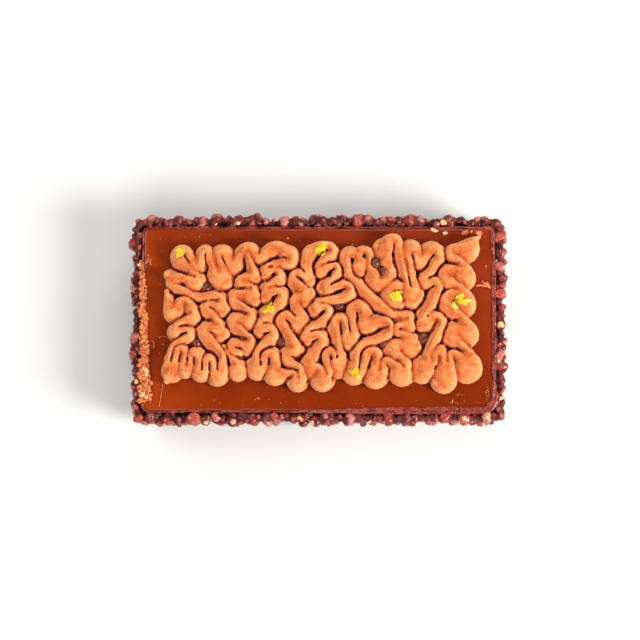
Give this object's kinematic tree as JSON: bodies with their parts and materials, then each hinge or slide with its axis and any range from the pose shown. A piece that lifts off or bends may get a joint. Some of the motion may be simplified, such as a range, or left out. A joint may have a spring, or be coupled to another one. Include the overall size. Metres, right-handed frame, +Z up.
{
  "type": "entremet",
  "caption": "Rectangular layered cake coated in chocolate with chopped nuts, caramel glaze inside a thin raised rim, and a long looping ribbon of piped cream on top.",
  "frame": {"origin": "centre of the flat underside", "axes": "+X along the long side, +Y across to the long side that is at the back in the picture, +Z up"},
  "size_m": [0.2199, 0.1239, 0.0557],
  "materials": {
    "nut_coating": "glossy chocolate with chopped nuts",
    "glaze": "mirror gloss",
    "cream": "soft matte"
  },
  "bodies": {
    "root": {"cake_body": "nut_coating", "caramel_glaze": "glaze", "piped_cream": "cream"}
  },
  "joints": []
}
